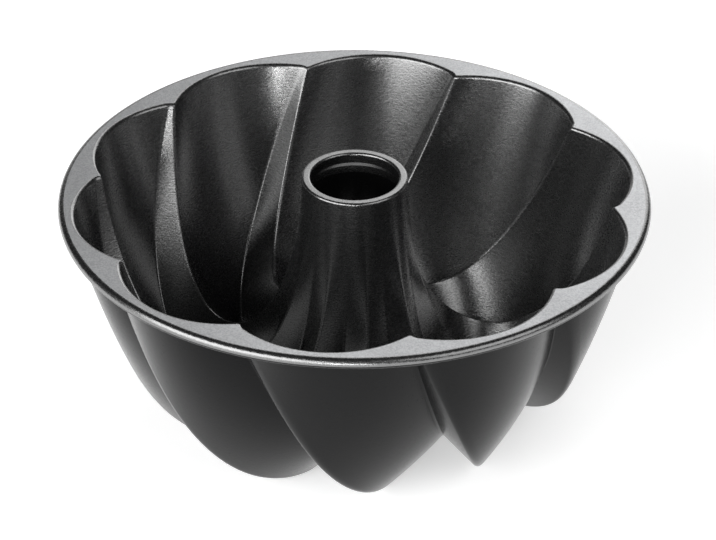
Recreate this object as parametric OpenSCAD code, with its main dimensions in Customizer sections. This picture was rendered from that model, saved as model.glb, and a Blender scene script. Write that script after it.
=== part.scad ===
// Brioche mould: swirled flutes round an open centre tube, hung from a flat rim.
// The real mould is one aluminium casting. Its four regions are separate solids here, and they
// meet face to face. Millimetres, +Z up, the feet stand on z = 0 and the tube is centred on Z.

/* [Rim] */
// Outside diameter of the flat rim
rim_d = 250; // [240:1:262]
// Height of the rim's top above the table
rim_h = 104; // [96:1:114]
// Thickness of the rim, whose outer edge is fully rounded
rim_t = 5; // [4:0.1:6]
// Rounding from the rim's top down into the flutes
lip_round = 1.4; // [1:0.1:3.8]

/* [Wall] */
// Thickness of the casting's wall
wall = 3; // [2:0.1:3.6]
// Depth ground off the lowest part of each flute, which leaves the flats that the mould stands on
foot_flat = 0.8; // [0.6:0.05:1.2]

/* [Flutes] */
// Number of flutes round the mould
flutes = 10; // [9:1:11]
// Direction of the first ridge at the rim, turned from +X
first_ridge_angle = 29.3; // [0:0.1:45]
// How far a flute bellies out beyond its two ridges at the rim
belly = 8.6; // [5:0.1:9.5]
// The same a third of the way down, which fades to nothing at the floor
belly_mid = 3; // [0:0.1:6]
// How slowly the belly rises from a ridge: 1 is a plain parabola
belly_shape = 1; // [0.9:0.05:1.4]

/* [Ridges between the flutes, on the cake side] */
// Width of the rim's flat from its outside edge to the ridges
rim_land = 16.7; // [15:0.1:20]
// Lean of the ridge away from upright at the rim, in degrees
ridge_lean = 12.4; // [8:0.1:18]
// Length over which the ridge keeps that lean
ridge_reach = 19; // [15:1:40]
// Radius at which the ridge is lowest
ridge_floor_r = 62.5; // [58:0.5:67]
// Height of the ridge there
ridge_floor_h = 26; // [20:0.5:34]
// Length over which the ridge turns from the floor up the wall
ridge_sweep_out = 27; // [20:0.5:32]
// Length over which the ridge turns from the floor up the tube
ridge_sweep_in = 23.5; // [18:0.5:27]
// Length over which the ridge settles into the tube's side
ridge_settle = 40; // [30:1:52]

/* [Keels, the deepest line of each flute] */
// How much further out than the ridge the keel starts at the rim
keel_rim_out = 2.4; // [0:0.1:3]
// Lean of the keel away from upright at the rim, in degrees
keel_lean = 4.9; // [1:0.1:8]
// Length over which the keel keeps that lean
keel_reach = 46; // [32:0.5:50]
// Radius at which the keel is lowest
keel_floor_r = 60.5; // [56:0.5:65]
// Length over which the keel turns from the floor up the wall
keel_sweep_out = 35; // [30:0.5:40]
// Length over which the keel turns from the floor up the tube
keel_sweep_in = 19; // [14:0.5:24]
// Length over which the keel settles into the tube's side
keel_settle = 54; // [40:1:60]

/* [Swirl, in degrees of turn below the rim] */
// Turn of the ridge at the end of its reach
ridge_angle_top = 3.9; // [0:0.1:8]
// Turn of the ridge where it leaves the wall
ridge_angle_wall = 12; // [6:0.1:16]
// Turn of the ridge where it is lowest
ridge_angle_floor = 23.8; // [20:0.1:28]
// Turn of the ridge on the tube
ridge_angle_tube = 36.3; // [32:0.1:40]
// Turn of the keel just under the rim
keel_angle_rim = 2.2; // [1.8:0.1:3]
// Turn of the keel at the end of its reach
keel_angle_top = 12.5; // [9:0.1:14]
// Turn of the keel where it leaves the wall
keel_angle_wall = 20.4; // [16:0.1:24]
// Turn of the keel where it is lowest
keel_angle_floor = 40.9; // [37:0.1:44]
// Turn of the keel on the tube
keel_angle_tube = 53.5; // [49:0.1:57]

/* [Roundings along the swirl] */
// Rounding of the ridges on the cake side
ridge_round = 1.5; // [0.5:0.1:3]
// Rounding of the keels on the cake side
keel_round = 1.2; // [0.5:0.1:3]
// Rounding in the creases of the outside
crease_round = 1; // [0.5:0.1:3]
// Rounding of the keels on the outside
keel_round_out = 4; // [2:0.1:6]

/* [Centre tube] */
// Outside radius of the tube where the flutes have died out
tube_r = 22.9; // [20:0.1:26]
// How much wider the tube's side is aimed at the start of its settling length
tube_flare = 2.2; // [0:0.1:4]
// Height of the tube's mouth above the rim
tube_rise = 7.5; // [3:0.5:12]
// Drop from the rim's top to where the flutes have died out
flute_end_drop = 2.5; // [0:0.5:8]
// Outside radius of the tube's mouth
mouth_r = 22.5; // [21.6:0.1:25]
// Radius of the short straight bore in the mouth
mouth_bore_r = 18.6; // [16:0.1:19.2]
// Rounding of the mouth's two edges, on either side of its flat top
mouth_round = 1.1; // [0.6:0.1:1.2]
// Length of the bore, with its rounded edge
mouth_h = 5; // [4:0.5:7]

/* [Hidden] */
coat = "#33363b";
coat_rim = "#7b7e83";
// Half of the rim's thickness rounds its outer edge.
rim_edge_r = rim_t / 2;
// Radius of the ridges at the rim.
ridge_rim_r = rim_d / 2 - rim_land;
// Radius of the keels at the rim.
keel_rim_r = ridge_rim_r + keel_rim_out;
// Angle from one flute to the next.
pitch = 360 / flutes;
// Height of the rim's underside, where the fluted bowl starts.
under_rim = rim_h - rim_t;
// Height where the flutes have died out and the plain tube lip starts.
flute_top = rim_h - flute_end_drop;
// Share of a face over which its slope at a corner is measured.
slope_share = 0.05;
// Step, in stations, over which a line's direction is measured.
direction_share = 0.01;
// Share of a flank or face that one rounding may use.
round_share_flank = 0.3;
round_share_face = 0.2;
// Stations along a line: 0 is under the rim, 1 is the floor and 2 is the top of the flutes. The
// fluted bowl ends, and the centre tube starts, at the first one named here.
split_share = 1.17;
bowl_stations = [0, 0.07, 0.14, 0.21, 0.28, 0.35, 0.42, 0.49, 0.56, 0.63, 0.7, 0.77, 0.84, 0.91, 0.97,
    1, 1.03, 1.09, split_share];
tube_stations = [split_share, 1.24, 1.32, 1.41, 1.5, 1.6, 1.7, 1.8, 1.9, 2];
// Stations at which the foot is sought, and how often the keel's height is corrected for it.
foot_stations = [0.97, 1, 1.03];
settling_times = 3;
// Faces across the broad side of a flute.
broad_faces = 7;
// Steps in the rounding at the top of the flutes.
lip_steps = 5;
// Step, in stations, over which the flutes' slope under the rim is measured.
rim_slope_share = 0.02;
// Height by which a cutting shape stands clear of what it cuts.
clear = 1;
round_fn = 128;

// A point on a smooth curve led by four points, from 0 to 1 along it.
function curve(p, t) =
    pow(1 - t, 3) * p[0] + 3 * pow(1 - t, 2) * t * p[1] + 3 * (1 - t) * t * t * p[2] + pow(t, 3) * p[3];

// The four leading points of each line, down the wall and then up the tube, are [radius, height, turn].
function ridge_wall() =
    let(slope = tan(ridge_lean))
    [
        [ridge_rim_r - slope * rim_t, under_rim, ridge_angle_top * rim_t / (rim_t + ridge_reach)],
        [ridge_rim_r - slope * (rim_t + ridge_reach), under_rim - ridge_reach, ridge_angle_top],
        [ridge_floor_r + ridge_sweep_out, ridge_floor_h, ridge_angle_wall],
        [ridge_floor_r, ridge_floor_h, ridge_angle_floor]
    ];
function ridge_tube() =
    let(rate = (ridge_angle_floor - ridge_angle_wall) / ridge_sweep_out)
    [
        [ridge_floor_r, ridge_floor_h, ridge_angle_floor],
        [ridge_floor_r - ridge_sweep_in, ridge_floor_h, ridge_angle_floor + rate * ridge_sweep_in],
        [tube_r + tube_flare, flute_top - ridge_settle, ridge_angle_tube],
        [tube_r, flute_top, ridge_angle_tube]
    ];
function keel_wall(floor_h) =
    let(slope = tan(keel_lean))
    [
        [keel_rim_r - slope * rim_t, under_rim, keel_angle_rim],
        [keel_rim_r - slope * (rim_t + keel_reach), under_rim - keel_reach, keel_angle_top],
        [keel_floor_r + keel_sweep_out, floor_h, keel_angle_wall],
        [keel_floor_r, floor_h, keel_angle_floor]
    ];
function keel_tube(floor_h) =
    let(rate = (keel_angle_floor - keel_angle_wall) / keel_sweep_out)
    [
        [keel_floor_r, floor_h, keel_angle_floor],
        [keel_floor_r - keel_sweep_in, floor_h, keel_angle_floor + rate * keel_sweep_in],
        [tube_r + tube_flare, flute_top - keel_settle, keel_angle_tube],
        [tube_r, flute_top, keel_angle_tube]
    ];
function ridge(s) = s <= 1 ? curve(ridge_wall(), s) : curve(ridge_tube(), s - 1);
function keel(s, floor_h) = s <= 1 ? curve(keel_wall(floor_h), s) : curve(keel_tube(floor_h), s - 1);
function belly_at(s) = s < 1 ? curve([belly, belly_mid, 0, 0], s) : 0;

// Point q, seen from the upright plane through point p.
function seen(q, p) = [q[0] * cos(q[2] - p[2]), q[0] * sin(q[2] - p[2]), q[1]];
function unit(v) = v / norm(v);
// Moves p out by depth from both faces that meet along its line. At the top of the wall and of the
// tube it then slides along the line, back to p's own height.
function moved_out(p, behind, ahead, before, after, depth, level) =
    let(
        along = unit(seen(ahead, p) - seen(behind, p)),
        here = seen(p, p),
        out_before = unit(cross(along, here - seen(p + (before - p) * slope_share, p))),
        out_after = unit(cross(along, seen(p + (after - p) * slope_share, p) - here)),
        straight = depth * (out_before + out_after) / (1 + out_before * out_after),
        slid = level ? straight - along * straight.z / along.z : straight,
        x = p[0] + slid.x
    )
    [norm([x, slid.y]), p[1] + slid.z, p[2] + atan2(slid.y, x)];

// Distance between two [radius, height, turn] points that lie close together.
function apart(a, b) =
    norm([a[0] - b[0], a[1] - b[1], (a[2] - b[2]) * PI / 180 * (a[0] + b[0]) / 2]);
// A corner at b, rounded between a and c, at q from 0 to 1.
function corner(a, b, c, q) = pow(1 - q, 2) * a + 2 * q * (1 - q) * b + q * q * c;

// One flute's outline at station s: ridge, steep flank, keel, broad face and up to the next ridge.
// A depth of 0 is the cake side, and wall is the outside.
function flute(s, depth, floor_h) =
    let(
        level = s == 0 || s == 2,
        low_s = max(0, s - direction_share),
        high_s = min(2, s + direction_share),
        a0 = ridge(s),
        b0 = keel(s, floor_h),
        last_b0 = b0 - [0, 0, pitch],
        next_a0 = a0 + [0, 0, pitch],
        a = moved_out(a0, ridge(low_s), ridge(high_s), last_b0, b0, depth, level),
        b = moved_out(b0, keel(low_s, floor_h), keel(high_s, floor_h), a0, next_a0, depth, level),
        c = a + [0, 0, pitch],
        ridge_r = depth > 0 ? crease_round : ridge_round,
        keel_r = depth > 0 ? keel_round_out : keel_round,
        flank_a = min(round_share_flank, ridge_r / apart(a, b)),
        flank_b = min(round_share_flank, keel_r / apart(a, b)),
        face_b = min(round_share_face, keel_r / apart(b, c)),
        face_c = min(round_share_face, ridge_r / apart(b, c)),
        bulge = belly_at(s),
        face = function(q) b + (c - b) * q + [bulge * pow(4 * q * (1 - q), belly_shape), 0, 0],
        before = face(1 - face_c) - [0, 0, pitch],
        after = a + (b - a) * flank_a,
        steep = a + (b - a) * (1 - flank_b),
        broad = face(face_b)
    )
    [
        corner(before, a, after, 0.5),
        after,
        (after + steep) / 2,
        steep,
        for (q = [0.25:0.25:0.75]) corner(steep, b, broad, q),
        broad,
        for (i = [1:broad_faces]) face(face_b + (1 - face_b - face_c) * i / broad_faces)
    ];

function place(p, turn) =
    [p[0] * cos(p[2] + turn), p[0] * sin(p[2] + turn), max(0, p[1])];
function ring(outline) =
    [for (k = [0:flutes - 1], p = outline) place(p, first_ridge_angle + k * pitch)];

// Height at which the keel is lowest on the cake side. From a first guess it is moved, a few times,
// until the outside reaches below the table by just what is ground off for the feet.
function lowest(floor_h) = min([for (s = foot_stations, p = flute(s, wall, floor_h)) p[1]]);
function settled(floor_h, times) =
    times == 0 ? floor_h : settled(floor_h - lowest(floor_h) - foot_flat, times - 1);
keel_floor_h = settled(wall, settling_times);

// Two triangles for each cell between ring i and ring j, facing out when j lies below i.
function band(i, j, n) =
    [for (k = [0:n - 1])
        let(m = (k + 1) % n)
        each [[i * n + k, i * n + m, j * n + m], [i * n + k, j * n + m, j * n + k]]];

// A closed skin of the wall's thickness between the first and last of its stations.
module fluted_shell(stations) {
    rows = len(stations);
    inside = [for (s = stations) each ring(flute(s, 0, keel_floor_h))];
    outside = [for (s = stations) each ring(flute(s, wall, keel_floor_h))];
    n = len(inside) / rows;
    cake_side = [for (i = [0:rows - 2]) each band(i + 1, i, n)];
    outer_side = [for (i = [0:rows - 2]) each band(rows + i, rows + i + 1, n)];
    first_edge = band(0, rows, n);
    last_edge = band(2 * rows - 1, rows - 1, n);
    polyhedron(concat(inside, outside), concat(cake_side, outer_side, first_edge, last_edge));
}

// The flutes' outline carried straight up from under the rim by h, and widened by grow.
function carried(h, grow) =
    let(top = flute(0, 0, keel_floor_h), low = flute(rim_slope_share, 0, keel_floor_h))
    [for (i = [0:len(top) - 1])
        top[i] + (top[i] - low[i]) * h / (top[i][1] - low[i][1]) + [grow, 0, 0]];

// The opening that the flutes leave in the rim, rounded outwards at its top.
module flute_opening() {
    straight_h = rim_t - lip_round;
    steps = [for (i = [0:lip_steps]) 90 * i / lip_steps];
    edge = [for (a = steps) carried(straight_h + lip_round * sin(a), lip_round * (1 - cos(a)))];
    last = len(edge) - 1;
    below = carried(0, 0);
    rows = concat(
        [[for (p = below) [p[0], p[1] - clear, p[2]]]],
        [below],
        edge,
        [[for (p = edge[last]) [p[0], p[1] + clear, p[2]]]]
    );
    points = [for (r = rows) each ring(r)];
    n = len(points) / len(rows);
    sides = [for (i = [0:len(rows) - 2]) each band(i + 1, i, n)];
    bottom = [[for (k = [0:n - 1]) k]];
    top = [[for (k = [n - 1:-1:0]) (len(rows) - 1) * n + k]];
    polyhedron(points, concat(sides, bottom, top));
}

module rim_flange() {
    color(coat_rim)
    difference() {
        rotate_extrude($fn = round_fn)
        union() {
            translate([0, under_rim]) square([rim_d / 2 - rim_edge_r, rim_t]);
            translate([rim_d / 2 - rim_edge_r, under_rim + rim_edge_r])
            intersection() {
                circle(r = rim_edge_r, $fn = 48);
                translate([0, -rim_edge_r]) square([rim_edge_r, rim_t]);
            }
        }
        flute_opening();
    }
}

module fluted_bowl() {
    color(coat) fluted_shell(bowl_stations);
}

module centre_tube() {
    color(coat) fluted_shell(tube_stations);
}

// The plain top of the tube, with a flat mouth that stands in over a short straight bore.
module tube_lip() {
    top = rim_h + tube_rise;
    edge_z = top - mouth_round;
    color(coat)
    rotate_extrude($fn = round_fn)
    union() {
        polygon([
            [tube_r - wall, flute_top],
            [tube_r, flute_top],
            [mouth_r, edge_z],
            [mouth_r - mouth_round, top],
            [mouth_bore_r + mouth_round, top],
            [mouth_bore_r, edge_z],
            [mouth_bore_r, top - mouth_h],
            [tube_r - wall, top - mouth_h - (tube_r - wall - mouth_bore_r)]
        ]);
        translate([mouth_r - mouth_round, edge_z]) circle(r = mouth_round, $fn = 48);
        translate([mouth_bore_r + mouth_round, edge_z]) circle(r = mouth_round, $fn = 48);
    }
}

rim_flange();
fluted_bowl();
centre_tube();
tube_lip();
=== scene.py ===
import bpy
import numpy as np
from mathutils import Matrix, Vector


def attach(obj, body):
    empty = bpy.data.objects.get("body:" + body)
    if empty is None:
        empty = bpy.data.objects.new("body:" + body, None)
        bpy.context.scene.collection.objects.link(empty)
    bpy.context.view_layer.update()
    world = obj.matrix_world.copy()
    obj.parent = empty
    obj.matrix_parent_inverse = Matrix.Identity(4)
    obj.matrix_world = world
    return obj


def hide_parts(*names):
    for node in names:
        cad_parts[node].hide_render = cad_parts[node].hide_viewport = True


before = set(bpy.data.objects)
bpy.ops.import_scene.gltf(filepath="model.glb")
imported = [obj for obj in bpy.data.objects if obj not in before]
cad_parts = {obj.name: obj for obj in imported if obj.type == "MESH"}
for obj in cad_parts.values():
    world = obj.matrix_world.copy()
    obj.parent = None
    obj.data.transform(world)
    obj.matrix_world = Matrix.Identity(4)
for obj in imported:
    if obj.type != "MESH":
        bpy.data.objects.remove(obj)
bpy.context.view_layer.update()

# Fluted bowl: the walls and floor of the ten swirled flutes, poured in aluminium as part of the one
# casting, with a wall of the same thickness throughout. It stands on ten small flats, one under each
# flute. A non-stick coat is baked on inside and a black lacquer outside. Sizes are in millimetres.
RIM_D = 250.0
RIM_H = 104.0
RIM_T = 5.0
RIM_LAND = 16.7
UNDER_RIM = RIM_H - RIM_T
RIDGE_RIM_R = RIM_D / 2 - RIM_LAND
RIDGE_REACH = 19
RIDGE_TOP_TURN = 3.9
KEEL_RIM_OUT = 2.4
WALL = 3.0
FLUTES = 10
PITCH = 360.0 / FLUTES
FIRST_RIDGE = 29.3
TUBE_R = 22.9
TUBE_FLARE = 2.2
FLUTE_END_DROP = 2.5
FLUTE_TOP = RIM_H - FLUTE_END_DROP
# How far the broad faces bulge, led by four values from under the rim down to the floor.
BELLY = (8.6, 3.0, 0, 0)
# Rounding of the ridges and of the keels, on the cake side and on the outside.
INNER_ROUNDS = (1.5, 1.2)
OUTER_ROUNDS = (1.0, 4.0)
# Share of a flank, and of a broad face, that one rounding may use.
FLANK_SHARE = 0.3
BROAD_SHARE = 0.2
# Step over which a line's direction is measured, and share of a face over which its slope is.
DIRECTION_STEP = 0.01
SLOPE_SHARE = 0.05
# Steps across one flute's rounded ridge, flank, rounded keel and broad face.
RIDGE_STEPS = 6
FLANK_STEPS = 6
KEEL_STEPS = 8
BROAD_STEPS = 24


def led_line(rim_r, rim_turn, lean, reach, floor_r, floor_h, out, back, settle, turns):
    """Eight [radius, height, turn] points that lead a line down the wall and up the tube.

    The line starts down from the rim at its lean, led that way over its reach. It passes the floor
    point level, led by out and back, and it is led straight up over settle to the tube's top.
    """
    top_turn, wall_turn, floor_turn, tube_turn = turns
    slope = np.tan(np.radians(lean))
    rate = (floor_turn - wall_turn) / out
    return np.array([
        (rim_r - slope * RIM_T, UNDER_RIM, rim_turn),
        (rim_r - slope * (RIM_T + reach), UNDER_RIM - reach, top_turn),
        (floor_r + out, floor_h, wall_turn),
        (floor_r, floor_h, floor_turn),
        (floor_r, floor_h, floor_turn),
        (floor_r - back, floor_h, floor_turn + rate * back),
        (TUBE_R + TUBE_FLARE, FLUTE_TOP - settle, tube_turn),
        (TUBE_R, FLUTE_TOP, tube_turn),
    ])


# The ridge between two flutes, and the keel, which is the crease at the foot of that ridge.
RIDGE = led_line(
    rim_r=RIDGE_RIM_R, rim_turn=RIDGE_TOP_TURN * RIM_T / (RIM_T + RIDGE_REACH), lean=12.4,
    reach=RIDGE_REACH, floor_r=62.5, floor_h=26.0, out=27, back=23.5, settle=40,
    turns=(RIDGE_TOP_TURN, 12, 23.8, 36.3),
)
KEEL = led_line(
    rim_r=RIDGE_RIM_R + KEEL_RIM_OUT, rim_turn=2.2, lean=4.9,
    reach=46, floor_r=60.5, floor_h=2.9, out=35, back=19, settle=54,
    turns=(12.5, 20.4, 40.9, 53.5),
)


def curve(lead, t):
    """Points of the smooth curve that four points lead, for each t from 0 to 1."""
    t = t[:, None]
    shares = ((1 - t) ** 3, 3 * (1 - t) ** 2 * t, 3 * (1 - t) * t * t, t ** 3)
    return sum(share * point for share, point in zip(shares, lead))


def along_line(line, s):
    """Points of a line: s is 0 under the rim, 1 at the floor and 2 at the top of the flutes."""
    s = np.clip(s, 0, 2)
    return np.where(s[:, None] <= 1, curve(line[:4], s), curve(line[4:], s - 1))


def placed(radius, turn, height):
    """Points in x, y and z at a radius, a turn in degrees and a height."""
    a = np.radians(turn)
    return np.stack(np.broadcast_arrays(radius * np.cos(a), radius * np.sin(a), height), -1)


def seen(q, p):
    """Points q in x, y and z, with x pointing out through the points p."""
    return placed(q[:, 0], q[:, 2] - p[:, 2], q[:, 1])


def unit(v):
    return v / np.linalg.norm(v, axis=-1, keepdims=True)


def moved_out(p, behind, ahead, before, after, depth, level):
    """Moves a line's points out by depth from both faces that meet on it.

    Where level is true, a point then slides along the line, back to its own height.
    """
    along = unit(seen(ahead, p) - seen(behind, p))
    here = seen(p, p)
    out_before = unit(np.cross(along, here - seen(p + (before - p) * SLOPE_SHARE, p)))
    out_after = unit(np.cross(along, seen(p + (after - p) * SLOPE_SHARE, p) - here))
    step = depth * (out_before + out_after) / (1 + np.sum(out_before * out_after, 1))[:, None]
    upright = np.where(level, along[:, 2], 1)
    step = np.where(level[:, None], step - along * (step[:, 2] / upright)[:, None], step)
    x = p[:, 0] + step[:, 0]
    turn = p[:, 2] + np.degrees(np.arctan2(step[:, 1], x))
    return np.stack([np.hypot(x, step[:, 1]), p[:, 1] + step[:, 2], turn], 1)


def apart(p, q):
    """Distances between [radius, height, turn] points that lie close together."""
    d = p - q
    d[:, 2] = np.radians(d[:, 2]) * (p[:, 0] + q[:, 0]) / 2
    return np.linalg.norm(d, axis=1)


def corner(p, q, r, f):
    """A corner at q, rounded between p and r, at f from 0 to 1."""
    return (1 - f) ** 2 * p + 2 * f * (1 - f) * q + f * f * r


def steps(count):
    """Even steps up to 1, without the 0."""
    return np.arange(1, count + 1) / count


def outline(s, depth, rounds):
    """Rows of one flute's outline, as [radius, height, turn]: ridge, flank, keel and broad face."""
    one_on = np.array([0, 0, PITCH])
    a, b = along_line(RIDGE, s), along_line(KEEL, s)
    if depth:
        low, high = s - DIRECTION_STEP, s + DIRECTION_STEP
        level = (s == 0) | (s == 2)
        a, b = (
            moved_out(a, along_line(RIDGE, low), along_line(RIDGE, high), b - one_on, b, depth, level),
            moved_out(b, along_line(KEEL, low), along_line(KEEL, high), a, a + one_on, depth, level),
        )
    c = a + one_on
    bulge = np.where(s < 1, curve(np.array(BELLY)[:, None], s)[:, 0], 0)

    def broad_face(q):
        q = np.broadcast_to(q, s.shape)
        p = b + (c - b) * q[:, None]
        p[:, 0] += bulge * 4 * q * (1 - q)
        return p

    ridge_round, keel_round = rounds
    flank, broad = apart(a, b), apart(b, c)
    flank_a = np.minimum(FLANK_SHARE, ridge_round / flank)
    flank_b = np.minimum(FLANK_SHARE, keel_round / flank)
    broad_b = np.minimum(BROAD_SHARE, keel_round / broad)
    broad_c = np.minimum(BROAD_SHARE, ridge_round / broad)
    before = broad_face(1 - broad_c) - one_on
    after = a + (b - a) * flank_a[:, None]
    steep = a + (b - a) * (1 - flank_b)[:, None]
    foot = broad_face(broad_b)
    columns = [corner(before, a, after, f) for f in steps(RIDGE_STEPS)]
    columns += [after + (steep - after) * f for f in steps(FLANK_STEPS)]
    columns += [corner(steep, b, foot, f) for f in steps(KEEL_STEPS)]
    columns += [broad_face(broad_b + (1 - broad_b - broad_c) * f) for f in steps(BROAD_STEPS)]
    return np.stack(columns, 1)


def repeated(rows):
    """The outline of one flute, repeated for all of them."""
    return np.concatenate([rows + np.array([0, 0, FIRST_RIDGE + k * PITCH]) for k in range(FLUTES)], -2)


def all_round(rows):
    """The outline repeated round the mould, as x, y and z, and cut flat at the table for the feet."""
    rows = repeated(rows)
    return placed(rows[:, :, 0], rows[:, :, 2], np.maximum(rows[:, :, 1], 0))


def normals(rows):
    """Smooth normals of a grid of rows that go round the mould."""
    following = np.roll(rows, -1, 1)
    faces = np.cross(following[1:] - rows[:-1], rows[1:] - following[:-1])
    n = np.zeros(rows.shape)
    for part in (faces, np.roll(faces, 1, 1)):
        n[:-1] += part
        n[1:] += part
    return unit(n)


# Rows down the wall and up the tube. The first two steps are longer, where the wall is straighter.
FIRST_STEP = 0.03
WALL_ROWS = 54
TUBE_ROWS = 50
wall_rows = np.concatenate([[0, FIRST_STEP], np.linspace(2 * FIRST_STEP, 1, WALL_ROWS)])
tube_rows = np.linspace(1, 2, TUBE_ROWS)[1:]
stations = np.concatenate([wall_rows, tube_rows])
# Where the bowl's floor ends and the tube starts. The nearest row is moved there.
FLOOR_TO_TUBE = 1.17
cut = int(np.argmin(abs(stations - FLOOR_TO_TUBE)))
stations[cut] = FLOOR_TO_TUBE

cake_side = outline(stations, 0, INNER_ROUNDS)
outer_side = outline(stations, WALL, OUTER_ROUNDS)


def carried(first, low, h):
    """The first outline, carried straight on up from under the rim by h."""
    return first + (first - low) * (h / (first[:, 1] - low[:, 1]))[:, None]


def rounded_off(first, low, top, radius, step):
    """Rows that carry the first outline up to top and round it outwards there, the top row first."""
    rows = []
    for a in np.radians(np.arange(90, -1, -step)):
        row = carried(first, low, top - radius + radius * np.sin(a))
        row[:, 0] += radius * (1 - np.cos(a))
        rows.append(row)
    return rows


# The rounded lip at the top of the flutes belongs to the rim, but the two run smoothly together. It
# follows the slope that the wall has just below the rim.
LIP_ROUND = 1.4
LIP_STEP = 11.25
JUST_BELOW = np.array([0.02])
inner_low = outline(JUST_BELOW, 0, INNER_ROUNDS)[0]
lip_rows = rounded_off(cake_side[0], inner_low, RIM_T, LIP_ROUND, LIP_STEP)
lip_rows.append(carried(cake_side[0], inner_low, (RIM_T - LIP_ROUND) / 2))
lip_count = len(lip_rows)
inside = all_round(np.concatenate([lip_rows, cake_side]))
inside_n = normals(inside)

# The outside meets the underside of the rim in a small fillet.
WALL_FILLET = 1.5
FILLET_STEP = 15
outer_low = outline(JUST_BELOW, WALL, OUTER_ROUNDS)[0]
fillet_rows = rounded_off(outer_side[0], outer_low, 0, WALL_FILLET, FILLET_STEP)
outside = all_round(np.concatenate([fillet_rows, outer_side[1:]]))
outside_n = -normals(outside)
outer_cut = cut + len(fillet_rows) - 1


def cast(name, rows, row_normals):
    """A closed solid from rows of points, each joined to the next and the last to the first."""
    count, n = rows.shape[:2]
    i = np.arange(count)[:, None]
    j = np.arange(n)[None, :]
    k, m = (i + 1) % count, (j + 1) % n
    quads = np.stack([i * n + j, i * n + m, k * n + m, k * n + j], 2).reshape(-1, 4)
    mesh = bpy.data.meshes.new(name)
    mesh.from_pydata((rows.reshape(-1, 3) / 1000).tolist(), [], quads.tolist())
    mesh.shade_smooth()
    mesh.normals_split_custom_set_from_vertices(row_normals.reshape(-1, 3).tolist())
    piece = bpy.data.objects.new(name, mesh)
    bpy.context.scene.collection.objects.link(piece)
    return piece


def coated(piece, coats, coat_of_band):
    """Gives a piece its coats, and each band of faces between two rows the coat of that number."""
    for coat in coats:
        piece.data.materials.append(coat)
    columns = len(piece.data.polygons) // len(coat_of_band)
    coat_of_face = np.repeat(coat_of_band, columns).astype(np.int32)
    piece.data.polygons.foreach_set("material_index", coat_of_face)


def node(tree, kind, **values):
    """A new shader node with the values of its sockets, or else of its settings."""
    n = tree.nodes.new(kind)
    for key, value in values.items():
        if key in n.inputs:
            n.inputs[key].default_value = value
        else:
            setattr(n, key, value)
    return n


def cast_grain(tree, scale, detail, squeeze=(1, 1, 1)):
    """Noise in the mould's own space, made finer along each axis by squeeze."""
    place = node(tree, "ShaderNodeTexCoord")
    mapping = node(tree, "ShaderNodeMapping", Scale=squeeze)
    noise = node(tree, "ShaderNodeTexNoise", Scale=scale, Detail=detail, Roughness=0.6)
    tree.links.new(place.outputs["Object"], mapping.inputs["Vector"])
    tree.links.new(mapping.outputs["Vector"], noise.inputs["Vector"])
    return noise.outputs["Fac"]


def ramp(tree, value, low, high, first, last):
    """Turns a value into colours that run from first, at low, to last, at high."""
    r = node(tree, "ShaderNodeValToRGB")
    for end, position, colour in zip(r.color_ramp.elements, (low, high), (first, last)):
        end.position = position
        end.color = (*colour, 1)
    tree.links.new(value, r.inputs["Fac"])
    return r.outputs["Color"]


def grey(level):
    return (level, level, level)


def bumped(tree, value, strength, distance, under=None):
    """Normals raised by a value, on top of the normals under it if there are any."""
    b = node(tree, "ShaderNodeBump", Strength=strength, Distance=distance)
    tree.links.new(value, b.inputs["Height"])
    if under:
        tree.links.new(under, b.inputs["Normal"])
    return b.outputs["Normal"]


# Red, green and blue of the coats' darkest and lightest clouds, as shares of their own level.
DARK_TINT = (0.75, 0.77, 0.82)
LIGHT_TINT = (1.25, 1.28, 1.36)
ROUGH_SPREAD = 0.15


def baked_coat(name, ior, shine, dark, rough, streak_depth):
    """A dark baked coat over a casting finished with fine level streaks, whose depth is in metres."""
    coat = bpy.data.materials.new(name)
    coat.use_nodes = True
    t = coat.node_tree
    shader = t.nodes["Principled BSDF"]
    shader.inputs["IOR"].default_value = ior
    shader.inputs["Specular IOR Level"].default_value = shine
    streaks = cast_grain(t, scale=620, detail=2, squeeze=(1, 1, 2.8))
    grain = cast_grain(t, scale=1500, detail=2)
    clouds = cast_grain(t, scale=14, detail=4)
    darkest = [dark * c for c in DARK_TINT]
    lightest = [dark * c for c in LIGHT_TINT]
    smoothest = grey(rough * (1 - ROUGH_SPREAD))
    roughest = grey(rough * (1 + ROUGH_SPREAD))
    colour = ramp(t, clouds, low=0.35, high=0.7, first=darkest, last=lightest)
    sheen = ramp(t, streaks, low=0.3, high=0.7, first=smoothest, last=roughest)
    streaked = bumped(t, streaks, strength=1.0, distance=streak_depth)
    surface = bumped(t, grain, strength=0.35, distance=0.00003, under=streaked)
    t.links.new(colour, shader.inputs["Base Color"])
    t.links.new(sheen, shader.inputs["Roughness"])
    t.links.new(surface, shader.inputs["Normal"])
    return coat


# The cake side has a hard non-stick coat with a sheen, and the outside a duller black lacquer.
non_stick = baked_coat(
    "non_stick_coat", ior=1.8, shine=0.95, dark=0.003, rough=0.265, streak_depth=0.00006
)
lacquer = baked_coat(
    "black_lacquer", ior=1.45, shine=0.1, dark=0.003, rough=0.24, streak_depth=0.00003
)


def wall_piece(name, inner, outer):
    """The wall between some rows of the cake side, going down, and of the outside, going back up."""
    rows = np.concatenate([inside[inner], outside[outer]])
    piece = cast(name, rows, np.concatenate([inside_n[inner], outside_n[outer]]))
    first_outer_band = len(inside[inner]) - 1
    coated(piece, (non_stick, lacquer), np.arange(len(rows)) >= first_outer_band)
    return piece


inner_cut = lip_count + cut
bowl = wall_piece("fluted_bowl_coated", slice(lip_count, inner_cut + 1), slice(outer_cut, None, -1))
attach(bowl, "root")
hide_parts("fluted_bowl")

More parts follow.
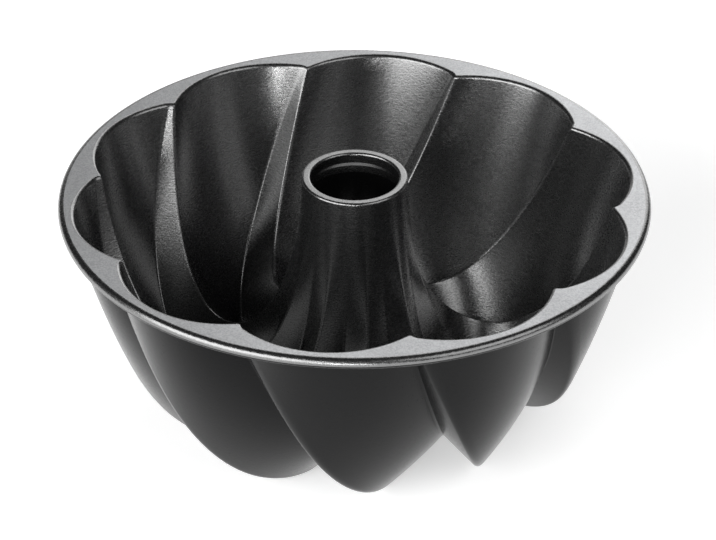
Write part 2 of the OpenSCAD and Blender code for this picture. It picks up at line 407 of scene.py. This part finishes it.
# Centre tube: the flared tube that carries heat up through the cake, poured with the bowl. The ten
# flutes run into its foot and die out towards its top. It has the same two coats.
tube = wall_piece("centre_tube_coated", slice(inner_cut, None), slice(None, outer_cut - 1, -1))
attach(tube, "root")
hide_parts("centre_tube")

# Tube lip: the plain round mouth of the tube, poured as one with it, which stands above the rim. Its
# top is a narrow flat ring with both edges rounded, and it steps in over a short straight bore.
TUBE_RISE = 7.5
TUBE_TOP = RIM_H + TUBE_RISE
MOUTH_R = 22.5
BORE_R = 18.6
MOUTH_ROUND = 1.1
MOUTH_H = 5.0
MOUTH_STEP = 10
MOUTH_COLUMNS = 160
TAPER_ROWS = (0, 0.3, 0.6, 0.9)
# Points that ease the two corners of the step inside, across and up from each corner.
UPPER_EASE = ((0, 0.5), (0.1, 0.15), (0.35, -0.15))
LOWER_EASE = ((-0.25, -0.02), (0, -0.5))
# A last band that keeps the inside straight where it meets the tube.
FOOT_BAND = 1
edge_z = TUBE_TOP - MOUTH_ROUND
profile = [(TUBE_R + (MOUTH_R - TUBE_R) * f, FLUTE_TOP + (edge_z - FLUTE_TOP) * f) for f in TAPER_ROWS]
for edge, first in ((MOUTH_R - MOUTH_ROUND, 0), (BORE_R + MOUTH_ROUND, 90)):
    profile += [
        (edge + MOUTH_ROUND * np.cos(a), edge_z + MOUTH_ROUND * np.sin(a))
        for a in np.radians(np.arange(first, first + 90 + MOUTH_STEP, MOUTH_STEP))
    ]
inner_r = TUBE_R - WALL
upper_z = TUBE_TOP - MOUTH_H
lower_z = upper_z - (inner_r - BORE_R)
profile += [(BORE_R + across, upper_z + up) for across, up in UPPER_EASE]
profile += [(inner_r + across, lower_z + up) for across, up in LOWER_EASE]
profile += [(inner_r, FLUTE_TOP + FOOT_BAND), (inner_r, FLUTE_TOP)]
mouth_turns = np.arange(MOUTH_COLUMNS) * 360 / MOUTH_COLUMNS
mouth = np.array([placed(r, mouth_turns, z) for r, z in profile])
lip = cast("tube_lip_coated", mouth, normals(mouth))
lip.data.materials.append(non_stick)
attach(lip, "root")
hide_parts("tube_lip")

# Rim: the flat flange round the top, poured with the bowl. Its edge is fully rounded. Its top shows
# the grain of the sand it was cast in, lighter than the walls, and the two coats meet along its edge.
TOP_BANDS = 5
UNDERSIDE_BANDS = 4
EDGE_STEP = 11.25
UPPER_EDGE_BANDS = 9
SAND_DARK = (0.25, 0.253, 0.258)
SAND_LIGHT = (0.34, 0.343, 0.35)
edge_r = RIM_T / 2
flat_end = RIM_D / 2 - edge_r
opening = repeated(lip_rows[0])
upward = np.tile([0.0, 0, 1], (len(opening), 1))


def rim_ring(radius, height):
    return placed(radius, opening[:, 2], height)


rings, ring_normals = [], []
for f in steps(TOP_BANDS)[::-1]:
    rings.append(rim_ring(opening[:, 0] + (flat_end - opening[:, 0]) * f, RIM_H))
    ring_normals.append(upward)
rings += list(inside[:lip_count + 1])
ring_normals += [upward, *inside_n[1:lip_count + 1]]
foot_r = np.hypot(inside[lip_count, :, 0], inside[lip_count, :, 1])
for f in steps(UNDERSIDE_BANDS):
    rings.append(rim_ring(foot_r + (flat_end - foot_r) * f, UNDER_RIM))
    ring_normals.append(-upward)
for a in np.radians(np.arange(EDGE_STEP - 90, 90, EDGE_STEP)):
    rings.append(rim_ring(flat_end + edge_r * np.cos(a), UNDER_RIM + edge_r + edge_r * np.sin(a)))
    ring_normals.append(rim_ring(np.cos(a), np.sin(a)))
rim = cast("rim_flange_coated", np.array(rings), np.array(ring_normals))

rim_coat = bpy.data.materials.new("rim_coat")
rim_coat.use_nodes = True
t = rim_coat.node_tree
shader = t.nodes["Principled BSDF"]
shader.inputs["IOR"].default_value = 1.45
shader.inputs["Metallic"].default_value = 0.9
sand = cast_grain(t, scale=1400, detail=2)
clouds = cast_grain(t, scale=20, detail=3)
colour = ramp(t, sand, low=0.38, high=0.62, first=SAND_DARK, last=SAND_LIGHT)
sheen = ramp(t, clouds, low=0.3, high=0.7, first=grey(0.34), last=grey(0.42))
surface = bumped(t, sand, strength=0.5, distance=0.00005)
t.links.new(colour, shader.inputs["Base Color"])
t.links.new(sheen, shader.inputs["Roughness"])
t.links.new(surface, shader.inputs["Normal"])

# The top has the rim's own coat, the lip and the upper edge have the cake side's, and the underside
# and the lower edge have the lacquer.
coat_of_band = np.full(len(rings), 2)
coat_of_band[:TOP_BANDS + lip_count] = 1
coat_of_band[:TOP_BANDS] = 0
coat_of_band[-UPPER_EDGE_BANDS:] = 1
coated(rim, (rim_coat, non_stick, lacquer), coat_of_band)
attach(rim, "root")
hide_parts("rim_flange")

# Floor: a plain pale table top, a little brighter to the eye than its own colour, as in a studio
# picture with a white ground. The added glow shows in reflections but lights no dull surface. From
# here on, sizes are in metres.
FLOOR_HALF = 4
FLOOR_GLOW = (("Is Camera Ray", 0.5), ("Is Glossy Ray", 0.95), ("Is Transmission Ray", 0.5))
floor_mesh = bpy.data.meshes.new("floor")
floor_corners = [(x * FLOOR_HALF, y * FLOOR_HALF, 0) for x, y in ((-1, -1), (1, -1), (1, 1), (-1, 1))]
floor_mesh.from_pydata(floor_corners, [], [(0, 1, 2, 3)])
floor = bpy.data.objects.new("floor", floor_mesh)
bpy.context.scene.collection.objects.link(floor)
pale = bpy.data.materials.new("pale_floor")
pale.use_nodes = True
t = pale.node_tree
shader = t.nodes["Principled BSDF"]
shader.inputs["Base Color"].default_value = (*grey(0.85), 1)
shader.inputs["Roughness"].default_value = 0.9
shader.inputs["Emission Color"].default_value = (*grey(1), 1)
path = node(t, "ShaderNodeLightPath")
glow = None
for ray, strength in FLOOR_GLOW:
    part = node(t, "ShaderNodeMath", operation="MULTIPLY_ADD")
    part.inputs[1].default_value = strength
    part.inputs[2].default_value = 0.0
    t.links.new(path.outputs[ray], part.inputs[0])
    if glow:
        t.links.new(glow.outputs[0], part.inputs[2])
    glow = part
t.links.new(glow.outputs[0], shader.inputs["Emission Strength"])
floor_mesh.materials.append(pale)

# Light: a dim room with a white wall behind the table, and four soft boxes that face the mould. A
# large one stands at the front left, a small strong one low in front, a weaker one at the front
# right, and a tall narrow one leans over behind.
SOFTBOX_FAR = 1.7
SOFTBOX_AIM = Vector((0, 0, 0.07))
world = bpy.data.worlds.new("studio")
bpy.context.scene.world = world
world.use_nodes = True
t = world.node_tree
t.nodes.clear()
place = node(t, "ShaderNodeTexCoord")
direction = node(t, "ShaderNodeSeparateXYZ")
t.links.new(place.outputs["Generated"], direction.inputs[0])
wall = ramp(t, direction.outputs["Y"], low=0.85, high=0.95, first=grey(0.05), last=grey(1))
sky = node(t, "ShaderNodeBackground", Strength=1.0)
t.links.new(wall, sky.inputs["Color"])
room = node(t, "ShaderNodeOutputWorld")
t.links.new(sky.outputs[0], room.inputs["Surface"])


def softbox(name, turn, height, size, brightness, lean=0):
    """A soft box that faces the mould from turn degrees right of the back and height degrees up."""
    data = bpy.data.lights.new(name, "AREA")
    data.shape = "RECTANGLE"
    data.size, data.size_y = size
    data.energy = brightness * np.pi * size[0] * size[1]
    box = bpy.data.objects.new(name, data)
    turn, height = np.radians(turn), np.radians(height)
    away = Vector((np.cos(height) * np.sin(turn), np.cos(height) * np.cos(turn), np.sin(height)))
    facing = (-away).to_track_quat("-Z", "Y").to_matrix().to_4x4()
    stand = Matrix.Translation(away * SOFTBOX_FAR + SOFTBOX_AIM)
    box.matrix_world = stand @ facing @ Matrix.Rotation(np.radians(lean), 4, "Z")
    bpy.context.scene.collection.objects.link(box)


softbox("softbox_front_left", turn=-134, height=20, size=(2.1, 1.2), brightness=6.0)
softbox("softbox_low_front", turn=-176, height=5, size=(0.34, 0.32), brightness=20)
softbox("softbox_front_right", turn=130, height=36, size=(1.4, 1.1), brightness=2.3)
softbox("softbox_back", turn=14, height=32, size=(0.8, 1.7), brightness=2.4, lean=-28)

# Camera: the photograph's view, from the front and about 32 degrees above the table. It stands at an
# elevation and distance from the middle of the rim, in metres, and looks down by its pitch.
elevation, distance = np.radians(31.66), 1.2226
pitch, yaw, roll = np.radians(33.22), np.radians(0.08), np.radians(0.08)
data = bpy.data.cameras.new("camera")
data.lens = 145.5
data.sensor_width = 36.0
camera = bpy.data.objects.new("camera", data)
bpy.context.scene.collection.objects.link(camera)
forward = np.array([np.sin(yaw) * np.cos(pitch), np.cos(yaw) * np.cos(pitch), -np.sin(pitch)])
right = np.array([np.cos(yaw), -np.sin(yaw), 0])
up = np.cross(right, forward)
turned_right = right * np.cos(roll) + up * np.sin(roll)
turned_up = up * np.cos(roll) - right * np.sin(roll)
view = Matrix(np.stack([turned_right, turned_up, -forward], 1).tolist()).to_4x4()
stand = (0, -distance * np.cos(elevation), RIM_H / 1000 + distance * np.sin(elevation))
camera.matrix_world = Matrix.Translation(stand) @ view
bpy.context.scene.camera = camera
bpy.context.scene.view_settings.view_transform = "Standard"
